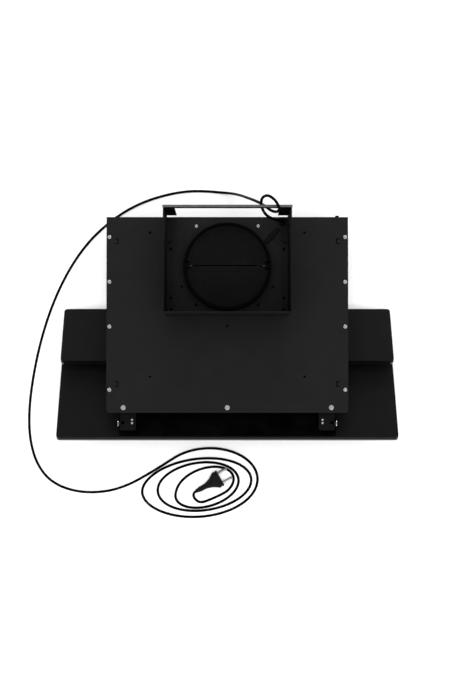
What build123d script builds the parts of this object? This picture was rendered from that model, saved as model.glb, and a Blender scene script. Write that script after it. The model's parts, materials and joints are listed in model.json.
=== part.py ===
from build123d import *
import math
import os

# Inclined kitchen cooker hood, 600 mm wide, hung on a wall by the rail at the back of its chimney frame.
# Row frame: origin on the wall, midway between the rail's two wall holes; +X right, +Y into the wall, +Z up.
# Most sizes below are given as (x, d, h): d is the distance in front of the body's rear plane,
# h is the height above the top panel, so everything under the top panel has a negative h.
# Sizes on the inclined face are (x, s, n): s runs down the slope from the front glass's upper edge,
# n is the distance from the front panel's body side, positive towards the body.

# ---------------------------------------------------------------- driving dimensions (mm)
WALL_GAP = 5.0  # body's rear plane to the wall
RAIL_HEIGHT = 160.0  # line of wall holes above the top panel

BODY_WIDTH = 421.0
BODY_DEPTH = 341.0
BODY_HEIGHT = 210.0
SHEET = 1.0  # body sheet steel
FLANGE = 12.5  # width of the folded flanges

SLOPE_ANGLE = 40.0  # glass to the horizontal
GLASS_WIDTH = 600.0
GLASS_EDGE_D, GLASS_EDGE_H = 384.0, -20.0  # upper front edge of the front panel, body side
GLASS_THICK = 4.0
TRAY_DEPTH = 6.0
PANEL_CORNER = 6.0
FRONT_PANEL_END = 190.0
REAR_PANEL_START, REAR_PANEL_END = 155.0, 281.0
REAR_PANEL_N = 24.0  # body side of the rear panel
CHASSIS_N = 28.0  # outer face of the inclined chassis

DUCT_RADIUS = 75.0
DUCT_D = 87.0  # centre of the outlet
DUCT_HEIGHT = 30.0
DUCT_WALL = 2.0

FRAME_HALF_WIDTH = 106.5
FRAME_DEPTH = 172.0
FRAME_HEIGHT = 167.0
FRAME_SHEET = 1.2
TAB_X = 88.0  # inner edge of the tabs that hold the rail
TAB_BOTTOM = 5.0
FOOT_WIDTH = 13.0

RAIL_HALF_WIDTH = 107.3
RAIL_TOP, RAIL_BOTTOM = 170.0, 150.0
RAIL_SHEET = 1.5
RAIL_DEPTH = 4.0  # wall plane to the front edge of the rail's top
CROSSBAR_BOTTOM = 149.0  # back member of the frame, under the rail's top
WALL_HOLE_X = 30.0
WALL_HOLE_RADIUS = 3.2
DRIVER_HOLE_RADIUS = 6.0  # in the crossbar, to reach the wall screws
RAIL_BOLT_X = 96.5
RAIL_BOLT_RADIUS = 2.5

PIVOT_S, PIVOT_N = 18.5, 17.5  # front panel's hinge line
PIN_RADIUS = 3.0
RUNNING = 0.05  # radial clearance of a pin that turns

FAN_D, FAN_H = 95.0, -104.0
FAN_RADIUS = 60.0

BUTTON_COUNT = 5
BUTTON_PITCH = 30.0
BUTTON_TRAVEL = 3.0

CORD_DIAMETER = 4.8
LAMP_RADIUS = 28.0
BEZEL_THICK = 1.5
FLOOR_H = -(BODY_HEIGHT + BEZEL_THICK + 0.5)  # level that the cord lies on

REAR_Y = -WALL_GAP
TOP_Z = -RAIL_HEIGHT


# ---------------------------------------------------------------- helpers
def at(x, d, h):
    """A point of the row frame from its distance in front of the rear plane and its height above the top."""
    return Vector(x, REAR_Y - d, TOP_Z + h)


def block(x, d, h):
    """A box from its (low, high) pairs."""
    centre = at(sum(x) / 2, sum(d) / 2, sum(h) / 2)
    return Pos(centre) * Box(x[1] - x[0], d[1] - d[0], h[1] - h[0])


def post(x, d, h, radius):
    """An upright cylinder between two heights."""
    return Pos(at(x, d, sum(h) / 2)) * Cylinder(radius, h[1] - h[0])


def cross_rod(x, d, h, radius):
    """A cylinder along X between two places."""
    return Pos(at(sum(x) / 2, d, h)) * Rot(0, 90, 0) * Cylinder(radius, x[1] - x[0])


SIN = math.sin(math.radians(SLOPE_ANGLE))
COS = math.cos(math.radians(SLOPE_ANGLE))
SLOPE = Plane(origin=at(0, GLASS_EDGE_D, GLASS_EDGE_H), x_dir=(1, 0, 0), z_dir=(0, SIN, COS))


def slab(x, s, n):
    """A box on the inclined face from its (low, high) pairs."""
    size = Box(x[1] - x[0], s[1] - s[0], n[1] - n[0])
    return SLOPE.location * Pos(sum(x) / 2, sum(s) / 2, sum(n) / 2) * size


def stud(x, s, n, radius):
    """A cylinder square to the inclined face."""
    return SLOPE.location * Pos(x, s, sum(n) / 2) * Cylinder(radius, n[1] - n[0])


def slope_to_dh(s, n):
    """(d, h) of a point of the inclined face."""
    return GLASS_EDGE_D - s * COS - n * SIN, GLASS_EDGE_H - s * SIN + n * COS


def side_profile(points, x):
    """A plate along X whose outline is a list of (d, h) corners."""
    corners = [at(x[0], d, h) for d, h in points]
    face = make_face(Polyline(*corners, close=True))
    return extrude(face, amount=x[1] - x[0], dir=(1, 0, 0))


def mirrored(shape):
    return mirror(shape, about=Plane.YZ)


def joined(shapes):
    """Separate solids kept side by side in one node."""
    return Compound(children=[solid for shape in shapes for solid in shape.solids()])


nodes = {}


def keep(name, shape):
    nodes[name] = shape


def keep_pair(name, right):
    """The right-hand piece and its mirror image."""
    keep(name + "_right", right)
    keep(name + "_left", mirrored(right))


# ---------------------------------------------------------------- fasteners
def pan_screw(x, d, h, head, head_height, shank, length):
    """A pan-head screw standing on height h, with a cross recess."""
    screw = post(x, d, (h, h + head_height), head) + post(x, d, (h - length, h), shank)
    top_edge = screw.edges().sort_by(Axis.Z)[-1]
    screw = fillet(top_edge, head_height * 0.45)
    recess = head * 0.55
    for size in ((recess, head * 0.14), (head * 0.14, recess)):
        cut = block((x - size[0], x + size[0]), (d - size[1], d + size[1]), (h + head_height * 0.4, h + 9))
        screw -= cut
    return screw


SIDE_SCREW_X = 205.0
SIDE_SCREW_D = (35.0, 113.0, 191.0, 301.0)
SIDE_SCREWS = [(x, d) for x in (-SIDE_SCREW_X, SIDE_SCREW_X) for d in SIDE_SCREW_D]
FRONT_SCREW_X = (-181.0, 0.0, 181.0)
FRONT_SCREW_D = 332.0
COLLAR_REAR_SCREWS = [(-54.0, 16.4), (54.0, 16.4)]
COLLAR_FRONT_SCREWS = [(-54.0, 153.0), (54.0, 153.0)]
COLLAR_SCREWS = COLLAR_REAR_SCREWS + COLLAR_FRONT_SCREWS
FRAME_SCREWS = [(x, d) for x in (-98.5, 98.5) for d in (56.0, 141.0)]
FOOT_HOLES = [(-98.0, 161.0), (98.0, 161.0)]
FOOT_HOOKS = [(102.0, 42.0, 1), (-102.0, 42.0, -1)]
OPEN_HOLES = [(-134.65, 27.0), (134.65, 27.0), (-134.65, 278.0), (134.65, 278.0), (0.0, 190.0)]
OPEN_HOLES += [(-79.5, 121.5), (79.5, 121.5)]
GLAND_X, GLAND_D = 95.6, 11.0
HOOK_SLOTS = [(191.0, 42.0, 1), (191.0, 291.0, 1), (-191.0, 42.0, -1), (-191.0, 291.0, -1)]


def hook_slot(x, d, side, half=4.6, reach=5.5, width=1.5, depth=(-2, 2)):
    """A square U-shaped cut, open towards the outside, round a tongue that a bracket hooks on."""
    inner = sorted((x - side * width, x))
    arms = sorted((x - side * width, x + side * reach))
    slot = block(inner, (d - half, d + half), depth)
    slot += block(arms, (d - half, d - half + width), depth)
    return slot + block(arms, (d + half - width, d + half), depth)


def foot_hook(x, d, side, radius=3.8, width=1.7, depth=(-2, 2)):
    """A short curved cut in a foot of the frame, on its inner and front side, with a round end."""
    ring = post(x, d, depth, radius) - post(x, d, depth, radius - width)
    middle = radius - width / 2
    low, high = sorted((x - side * width / 2, x + side * 2 * radius))
    ring -= block((low, high), (d - 2 * radius, d + 2 * radius), depth)
    ring -= block((x - 2 * radius, x + 2 * radius), (d - 2 * radius, d - width / 2), depth)
    return ring + post(x, d + middle, depth, width * 0.75)


def make_screws():
    side = []
    for x, d in SIDE_SCREWS:
        side.append(pan_screw(x, d, 0, 3.5, 2.2, 1.7, 6))
    keep("side_screws", joined(side))
    front = []
    for x in FRONT_SCREW_X:
        washer = post(x, FRONT_SCREW_D, (0, 0.8), 4.3)
        front.append(washer + pan_screw(x, FRONT_SCREW_D, 0.8, 3.2, 2.0, 1.7, 7))
    keep("front_screws", joined(front))
    keep("collar_screws", joined([pan_screw(x, d, 0, 3.2, 2.0, 1.7, 6) for x, d in COLLAR_REAR_SCREWS]))
    black = [pan_screw(x, d, FRAME_SHEET, 2.6, 1.2, 1.7, 6) for x, d in FRAME_SCREWS]
    black += [pan_screw(x, d, 0, 2.6, 1.2, 1.7, 6) for x, d in COLLAR_FRONT_SCREWS]
    keep("black_screws", joined(black))


# ---------------------------------------------------------------- body
WINDOW_X = (8.0, 186.0)  # opening behind each grease filter
WINDOW_S = (60.0, 148.0)


def make_body():
    half = BODY_WIDTH / 2
    top = block((-half, half), (0, BODY_DEPTH), (-SHEET, 0))
    front_corners = top.edges().filter_by(Axis.Z).sort_by(Axis.Y)[:2]
    top = fillet(front_corners, 6)
    top -= post(0, DUCT_D, (-2, 1), DUCT_RADIUS + COLLAR_GAP)
    screw_places = SIDE_SCREWS + COLLAR_SCREWS + FRAME_SCREWS + [(x, FRONT_SCREW_D) for x in FRONT_SCREW_X]
    for x, d in screw_places:
        top -= post(x, d, (-2, 1), 1.9)
    for x, d in OPEN_HOLES + FOOT_HOLES:
        top -= post(x, d, (-2, 1), 2.0)
    for x, d, side in HOOK_SLOTS:
        top -= hook_slot(x, d, side)
    for x, d, side in FOOT_HOOKS:
        top -= foot_hook(x, d, side)
    top -= post(GLAND_X, GLAND_D, (-2, 1), 4.0)
    keep("top_panel", top)

    inner = half - 1.0 - SHEET  # inside face of the side panels
    lip_d = BODY_DEPTH - 1.0
    lip_s = (GLASS_EDGE_D - lip_d - CHASSIS_N * SIN) / COS
    lip_h = slope_to_dh(lip_s, CHASSIS_N)[1]
    foot_s = (GLASS_EDGE_H + BODY_HEIGHT + CHASSIS_N * COS) / SIN
    foot_d = slope_to_dh(foot_s, CHASSIS_N)[0]

    outline = [(0, -SHEET), (lip_d, -SHEET), (lip_d, lip_h), (foot_d, -BODY_HEIGHT), (0, -BODY_HEIGHT)]
    side = side_profile(outline, (inner, inner + SHEET))
    flange_x = (inner - FLANGE, inner)
    side += block(flange_x, (3, 318), (-2 * SHEET, -SHEET))
    side += block(flange_x, (SHEET, 2 * SHEET), (-205, -3))
    side += slab(flange_x, (lip_s + 8, foot_s - 6), (CHASSIS_N + SHEET, CHASSIS_N + 2 * SHEET))
    for d in SIDE_SCREW_D:
        side -= post(SIDE_SCREW_X, d, (-3, 0), 1.75)
    keep_pair("side_panel", side)

    rear = block((-inner, inner), (0, SHEET), (-BODY_HEIGHT + SHEET, -SHEET))
    keep("rear_panel", rear)

    bottom = block((-inner, inner), (0, foot_d + 0.4), (-BODY_HEIGHT, -BODY_HEIGHT + SHEET))
    for x in LAMP_X:
        bottom -= post(x, LAMP_D, (-BODY_HEIGHT - 1, -BODY_HEIGHT + 2), LAMP_RADIUS + 0.5)
    keep("bottom_panel", bottom)

    under = block((-inner, inner), (320, lip_d), (-2 * SHEET, -SHEET))
    under += block((-inner, inner), (lip_d - SHEET, lip_d), (lip_h, -SHEET))
    under += slab((-inner, inner), (lip_s, foot_s - SHEET / SIN), (CHASSIS_N, CHASSIS_N + SHEET))
    for x in FRONT_SCREW_X:
        under -= post(x, FRONT_SCREW_D, (-3, 0), 1.75)
    for side_sign in (-1, 1):
        window = sorted((side_sign * WINDOW_X[0], side_sign * WINDOW_X[1]))
        under -= slab(window, WINDOW_S, (CHASSIS_N - 2, CHASSIS_N + 3))
    for x in button_places():
        under -= stud(x, BUTTON_S, (CHASSIS_N - 1, CHASSIS_N + 2), 5.6)
    keep("underside_panel", under)

    buffer = Pos(at(191.5, -1.4, -6)) * Rot(90, 0, 0) * Cylinder(3.3, 2.8)
    keep("wall_buffers", joined([buffer, mirrored(buffer)]))


# ---------------------------------------------------------------- outlet collar and its two flaps
COLLAR_GAP = 1.7  # between the collar and the edge of the hole in the top panel
FLAP_GAP_D = 85.7
FLAP_GAP_HALF = 0.9
FLAP_AXIS_OFFSET = 2.7
FLAP_AXIS_H = 15.0
FLAP_THICK = 1.5
FLAP_RADIUS = 70.3
FLAP_NOTCH = 7.6  # half the opening at the flaps' ends, round the bearing block
TRUNNION_RADIUS = 1.5
BOSS_X = (66.5, 73.6)
BOSS_HALF_D = 4.6
BEARING_X = 71.2  # closed end of the bearing
STOP_BEAD_H = (3.0, 4.5)  # rib that a duct is pushed down to


def flap_axis(side):
    """d of a flap's hinge line: side -1 is the wall side, +1 the front."""
    return FLAP_GAP_D + side * FLAP_AXIS_OFFSET


def make_collar():
    collar = post(0, DUCT_D, (0, DUCT_HEIGHT), DUCT_RADIUS) + post(0, DUCT_D, (-SHEET, 0), DUCT_RADIUS + 0.4)
    collar += post(0, DUCT_D, STOP_BEAD_H, DUCT_RADIUS + 0.8)
    collar += block((-66, 66), (8, 165), (-3 * SHEET, -SHEET))
    collar -= post(0, DUCT_D, (-4, DUCT_HEIGHT + 1), DUCT_RADIUS - DUCT_WALL)
    ledge_h = FLAP_AXIS_H - FLAP_THICK / 2 - 0.3
    ledge = post(0, DUCT_D, (ledge_h - 2, ledge_h), DUCT_RADIUS - 1)
    collar += ledge - post(0, DUCT_D, (ledge_h - 3, ledge_h + 1), FLAP_RADIUS - 4)
    boss_d = (FLAP_GAP_D - BOSS_HALF_D, FLAP_GAP_D + BOSS_HALF_D)
    boss = block(BOSS_X, boss_d, (ledge_h - 4, FLAP_AXIS_H + 2.5))
    for side in (-1, 1):
        d = flap_axis(side)
        boss -= cross_rod((BOSS_X[0] - 1, BEARING_X), d, FLAP_AXIS_H, TRUNNION_RADIUS + RUNNING)
    room_d = (FLAP_GAP_D - FLAP_NOTCH, FLAP_GAP_D + FLAP_NOTCH)
    room = block((BOSS_X[0] - 1.5, 72.5), room_d, (ledge_h - 4, FLAP_AXIS_H + 5))
    collar = collar - room - mirrored(room) + boss + mirrored(boss)
    for x, d in COLLAR_SCREWS:
        collar -= post(x, d, (-4, 0), 1.75)
    keep("duct_collar", collar)

    for side, name in ((-1, "flap_rear"), (1, "flap_front")):
        low, high = FLAP_AXIS_H - FLAP_THICK / 2, FLAP_AXIS_H + FLAP_THICK / 2
        disc = post(0, DUCT_D, (low, high), FLAP_RADIUS)
        edge = FLAP_GAP_D + side * FLAP_GAP_HALF
        away = FLAP_GAP_D - side * 90
        flap = disc - block((-80, 80), sorted((edge, away)), (low - 1, high + 1))
        if side > 0:
            strip = block((-62, 62), (edge, edge + 9.3), (high, high + 0.8))
            flap += strip
        notch = sorted((edge - side, FLAP_GAP_D + side * FLAP_NOTCH))
        for x in ((BOSS_X[0] - 0.6, 80), (-80, -BOSS_X[0] + 0.6)):
            flap -= block(x, notch, (low - 1, high + 2))
        for x in ((BOSS_X[0] - 3, 70.6), (-70.6, -BOSS_X[0] + 3)):
            flap += cross_rod(x, flap_axis(side), FLAP_AXIS_H, TRUNNION_RADIUS)
        keep(name, flap)


# ---------------------------------------------------------------- chimney frame, rail, cable entry
def make_frame():
    outer, inside = FRAME_HALF_WIDTH, FRAME_HALF_WIDTH - FRAME_SHEET
    rear_d = -WALL_GAP + RAIL_SHEET
    wall = block((inside, outer), (rear_d, FRAME_DEPTH), (0, FRAME_HEIGHT))
    tab = block((TAB_X, outer), (rear_d, rear_d + FRAME_SHEET), (TAB_BOTTOM, FRAME_HEIGHT))
    tab -= Pos(at(RAIL_BOLT_X, 0, RAIL_HEIGHT)) * Rot(90, 0, 0) * Cylinder(RAIL_BOLT_RADIUS + 0.1, 20)
    foot = block((outer - FOOT_WIDTH, outer), (22, FRAME_DEPTH), (0, FRAME_SHEET))
    side = wall + tab + foot
    frame = side + mirrored(side)
    frame += block((-outer, outer), (FRAME_DEPTH - FRAME_SHEET, FRAME_DEPTH), (0, FRAME_HEIGHT))
    front_d = -WALL_GAP + RAIL_DEPTH
    frame += block((-TAB_X - 1, TAB_X + 1), (rear_d, front_d), (CROSSBAR_BOTTOM, FRAME_HEIGHT))
    for x in (-WALL_HOLE_X, WALL_HOLE_X):
        frame -= Pos(at(x, 0, RAIL_HEIGHT)) * Rot(90, 0, 0) * Cylinder(DRIVER_HOLE_RADIUS, 20)
    for x, d in FRAME_SCREWS:
        frame -= post(x, d, (-1, 2), 1.8)
    for x, d in FOOT_HOLES:
        frame -= post(x, d, (-1, 2), 2.0)
    for x, d, side_sign in FOOT_HOOKS:
        frame -= foot_hook(x, d, side_sign)
    keep("chimney_frame", frame)

    lip = (RAIL_TOP - RAIL_SHEET, RAIL_TOP)
    rail = block((-RAIL_HALF_WIDTH, RAIL_HALF_WIDTH), (-WALL_GAP, rear_d), (RAIL_BOTTOM, RAIL_TOP))
    rail += block((-RAIL_HALF_WIDTH, RAIL_HALF_WIDTH), (-WALL_GAP, front_d), lip)
    for x, radius in ((WALL_HOLE_X, WALL_HOLE_RADIUS), (RAIL_BOLT_X, RAIL_BOLT_RADIUS + 0.1)):
        for place in (-x, x):
            rail -= Pos(at(place, 0, RAIL_HEIGHT)) * Rot(90, 0, 0) * Cylinder(radius, 20)
    keep("wall_rail", rail)

    bolts = []
    for x in (-RAIL_BOLT_X, RAIL_BOLT_X):
        tab_face = Pos(at(x, rear_d + FRAME_SHEET, RAIL_HEIGHT)) * Rot(90, 0, 0)
        head = tab_face * Pos(0, 0, 1.4) * Cylinder(4.2, 2.8)
        shank = tab_face * Pos(0, 0, -1.3) * Cylinder(RAIL_BOLT_RADIUS, 2.6)
        bolts.append(head + shank)
    keep("rail_bolts", joined(bolts))


GLAND_EXIT_H = 25.0


def make_cable_entry():
    gland = post(GLAND_X, GLAND_D, (0, 2.5), 5.2) + post(GLAND_X, GLAND_D, (-8, 0), 3.9)
    gland += post(GLAND_X, GLAND_D, (-4.0, -SHEET), 5.4)
    relief = Pos(at(GLAND_X, GLAND_D, (2.5 + GLAND_EXIT_H) / 2)) * Cone(4.2, 3.1, GLAND_EXIT_H - 2.5)
    keep("cable_gland", gland + relief)

    start, end = (88.4, 19.6), (66.6, 45.8)
    run = math.hypot(end[0] - start[0], end[1] - start[1])
    turn = math.degrees(math.atan2(-(end[1] - start[1]), end[0] - start[0]))
    middle = at((start[0] + end[0]) / 2, (start[1] + end[1]) / 2, 1.25)
    channel = Pos(middle) * Rot(0, 0, turn) * Box(run, 9, 2.5)
    long_edges = channel.edges().filter_by(lambda edge: abs(edge.length - run) < 0.1)
    channel = chamfer(long_edges.sort_by(Axis.Z)[-2:], 1.2)
    channel -= post(0, DUCT_D, (-1, 4), DUCT_RADIUS + 0.2)
    keep("cable_channel", channel)

    clip_place = at(76.6, 34.0, 3.1)
    clip = Pos(clip_place) * Rot(0, 0, turn + 90) * Box(13, 5, 1.2)
    for along in (-4.4, 4.4):
        clip += Pos(clip_place) * Rot(0, 0, turn + 90) * Pos(along, 0, 1.0) * Cylinder(1.3, 0.8)
    keep("cable_clip", clip)


# ---------------------------------------------------------------- glass panels and the front hinge
def panel(s, n_top, names):
    """A pan-shaped steel tray, closed on the body side, with a glass plate on its open side."""
    length = s[1] - s[0]
    place = SLOPE.location * Pos(0, sum(s) / 2, n_top)
    tray = place * Pos(0, 0, -TRAY_DEPTH / 2) * extrude_rounded(GLASS_WIDTH, length, TRAY_DEPTH, PANEL_CORNER)
    pocket_depth = TRAY_DEPTH - SHEET
    pocket = extrude_rounded(GLASS_WIDTH - 2 * SHEET, length - 2 * SHEET, pocket_depth, PANEL_CORNER - 1)
    tray -= place * Pos(0, 0, -TRAY_DEPTH + pocket_depth / 2) * pocket
    glass = extrude_rounded(GLASS_WIDTH, length, GLASS_THICK, PANEL_CORNER)
    glass = chamfer(glass.faces().sort_by(Axis.Z)[0].edges(), 0.8)
    glass = place * Pos(0, 0, -TRAY_DEPTH - GLASS_THICK / 2) * glass
    keep(names[0], tray)
    keep(names[1], glass)


def extrude_rounded(width, length, thick, radius):
    """A plate with rounded corners, centred on its own middle."""
    return Pos(0, 0, -thick / 2) * extrude(RectangleRounded(width, length, radius), amount=thick)


def make_glass():
    panel((0, FRONT_PANEL_END), 0, ("front_tray", "front_glass"))
    panel((REAR_PANEL_START, REAR_PANEL_END), REAR_PANEL_N, ("rear_tray", "rear_glass"))
    spacers = [stud(x, s, (REAR_PANEL_N, CHASSIS_N), 8) for x in (-150, 150) for s in (182, 262)]
    keep("rear_panel_spacers", joined(spacers))

    pivot_d, pivot_h = slope_to_dh(PIVOT_S, PIVOT_N)
    carrier = slab((-189.8, 189.8), (3, 60), (0, 1.5))
    ear_x = (188.6, 189.8)
    ear = slab(ear_x, (PIVOT_S - 8, PIVOT_S + 8), (0, PIVOT_N)) + cross_rod(ear_x, pivot_d, pivot_h, 8)
    ear -= cross_rod((180, 200), pivot_d, pivot_h, PIN_RADIUS + RUNNING)
    carrier = carrier + ear + mirrored(ear)
    keep("hinge_carrier", carrier)

    lip_d = BODY_DEPTH - 1.0
    tongue_h = (-18.0, -16.5)
    bracket = block((160, 187.9), (lip_d, 372), tongue_h)
    bracket += block((160, 187.9), (lip_d, lip_d + 1.5), (-18, -3))
    bracket = fillet(bracket.edges().filter_by(Axis.Z).sort_by(Axis.Y)[:1], 3)
    bracket += cross_rod((186.4, 187.9), pivot_d, pivot_h, 7)
    bracket -= cross_rod((180, 200), pivot_d, pivot_h, PIN_RADIUS)
    screws = []
    for d in (353.6, 359.2):
        bracket -= post(166.5, d, (-20, -15), 1.2)
        screws.append(post(166.5, d, (-19.5, -16.5), 1.2) + post(166.5, d, (-16.5, -15.4), 1.9))
    keep_pair("hinge_bracket", bracket)
    keep("hinge_screws", joined(screws + [mirrored(s) for s in screws]))
    pin = cross_rod((186.4, 190.1), pivot_d, pivot_h, PIN_RADIUS)
    pin += cross_rod((190.1, 191.4), pivot_d, pivot_h, 7)
    keep("hinge_pins", joined([pin, mirrored(pin)]))

    catch = slab((194, 206), (114, 126), (4.5, CHASSIS_N))
    magnet = stud(200, 120, (0.4, 4.5), 5)
    keep("catch_posts", joined([catch, mirrored(catch)]))
    keep("catch_magnets", joined([magnet, mirrored(magnet)]))


# ---------------------------------------------------------------- grease filters
FILTER_X = (4.0, 190.0)
FILTER_S = (56.0, 153.5)
FILTER_N = (18.0, CHASSIS_N)


def make_filters():
    rim = 9.0
    window_x = (FILTER_X[0] + rim, FILTER_X[1] - rim)
    window_s = (FILTER_S[0] + 2 * rim, FILTER_S[1] - rim)
    frame = slab(FILTER_X, FILTER_S, FILTER_N) - slab(window_x, window_s, (FILTER_N[0] - 1, FILTER_N[1] + 1))
    keep_pair("filter_frame", frame)
    mesh = slab(window_x, window_s, (FILTER_N[0] + 1.5, FILTER_N[1] - 1.5))
    groove_pitch = 12.0
    s = window_s[0] + groove_pitch / 2
    while s < window_s[1] - 2:
        for n in (FILTER_N[0] + 1.5, FILTER_N[1] - 1.5):
            mesh -= slab(window_x, (s - 1.5, s + 1.5), (n - 1.2, n + 1.2))
        s += groove_pitch
    keep_pair("filter_mesh", mesh)

    middle = sum(FILTER_X) / 2
    latch_n = (FILTER_N[0] - 2.3, FILTER_N[0] - 0.3)
    latch_x = (middle - 15, middle + 15)
    latch = slab(latch_x, (FILTER_S[0] + 1, FILTER_S[0] + 13), latch_n)
    latch += slab((middle - 6, middle + 6), (FILTER_S[0] - 5, FILTER_S[0] + 1), latch_n)
    latch += slab(latch_x, (FILTER_S[0] + 1, FILTER_S[0] + 3), (latch_n[0] - 4, latch_n[0]))
    keep_pair("filter_latch", latch)
    hook_x = (middle - 9, middle + 9)
    hook_n = latch_n[0] - 2.6
    hook = slab(hook_x, (FILTER_S[0] - 10, FILTER_S[0] - 6), (hook_n, CHASSIS_N))
    hook += slab(hook_x, (FILTER_S[0] - 6, FILTER_S[0] - 1.5), (hook_n, latch_n[0] - 0.3))
    keep("filter_catches", joined([hook, mirrored(hook)]))


# ---------------------------------------------------------------- controls and lamps
BUTTON_S = 306.0
BUTTON_RADIUS = 5.0
LAMP_X = (-125.0, 125.0)
LAMP_D = 58.0


def button_places():
    first = -(BUTTON_COUNT - 1) / 2 * BUTTON_PITCH
    return [first + i * BUTTON_PITCH for i in range(BUTTON_COUNT)]


def make_controls():
    fascia = slab((-85, 85), (BUTTON_S - 13, BUTTON_S + 13), (CHASSIS_N - 2, CHASSIS_N))
    fascia = fillet(fascia.edges().filter_by(lambda e: abs(e.length - 2) < 0.01), 4)
    switch_n = (CHASSIS_N + BUTTON_TRAVEL + 2, CHASSIS_N + 16)
    block_body = slab((-76, 76), (BUTTON_S - 12, BUTTON_S + 8), switch_n)
    for foot_x in ((-76, -72), (72, 76)):
        block_body += slab(foot_x, (BUTTON_S - 12, BUTTON_S + 8), (CHASSIS_N + SHEET, switch_n[0]))
    for number, x in enumerate(button_places(), start=1):
        fascia -= stud(x, BUTTON_S, (CHASSIS_N - 3, CHASSIS_N + 1), BUTTON_RADIUS + 0.3)
        block_body -= stud(x, BUTTON_S, (switch_n[0] - 1, switch_n[0] + 9), 2.0 + RUNNING)
        button = stud(x, BUTTON_S, (CHASSIS_N - 6, CHASSIS_N + 0.5), BUTTON_RADIUS)
        button = fillet(button.edges().sort_by(lambda edge: edge.center().dot(SLOPE.z_dir))[:1], 1)
        button += stud(x, BUTTON_S, (CHASSIS_N + 0.5, switch_n[0] + 5), 2.0)
        keep(f"button_{number}", button)
    keep("control_fascia", fascia)
    keep("switch_block", block_body)

    lenses, housings = [], []
    bottom = -BODY_HEIGHT
    for x in LAMP_X:
        cup = post(x, LAMP_D, (bottom - BEZEL_THICK, bottom), LAMP_RADIUS + 4)
        cup += post(x, LAMP_D, (bottom, bottom + 26), LAMP_RADIUS + 0.3)
        housings.append(cup - post(x, LAMP_D, (bottom - 3, bottom + 23), LAMP_RADIUS - 1))
        lenses.append(post(x, LAMP_D, (bottom - 1, bottom + 3), LAMP_RADIUS - 1))
    keep("lamp_lenses", joined(lenses))
    keep("lamp_housings", joined(housings))


# ---------------------------------------------------------------- blower
FAN_HALF_WIDTH = 52.0
HOUSING_HALF_WIDTH = 64.0
HOUSING_WALL = 1.5
INLET_RADIUS = 43.0
SHAFT_RADIUS = 4.0
BLADES = 28
CUTOFF_ANGLE = 32.0
CUTOFF_RADIUS, OUTLET_RADIUS = 66.0, 84.0


def scroll_outline(grow):
    """The spiral wall from the cut-off round under the fan to the wall side, closed across the outlet."""
    sweep = 180.0 + CUTOFF_ANGLE
    steps = 8
    points = []
    for i in range(steps + 1):
        part = i / steps
        angle = math.radians(CUTOFF_ANGLE - part * sweep)
        radius = CUTOFF_RADIUS + part * (OUTLET_RADIUS - CUTOFF_RADIUS) + grow
        points.append(at(0, FAN_D + radius * math.cos(angle), FAN_H + radius * math.sin(angle)))
    top_h = -5 * SHEET
    front_top, rear_top = points[0].Y, points[-1].Y
    closing = Polyline(points[-1], (0, rear_top, TOP_Z + top_h), (0, front_top, TOP_Z + top_h), points[0])
    return make_face(Wire([Spline(*points)] + list(closing.edges())))


def scroll_body(grow, half_width):
    face = scroll_outline(grow)
    return Pos(-half_width, 0, 0) * extrude(face, amount=2 * half_width, dir=(1, 0, 0))


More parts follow.
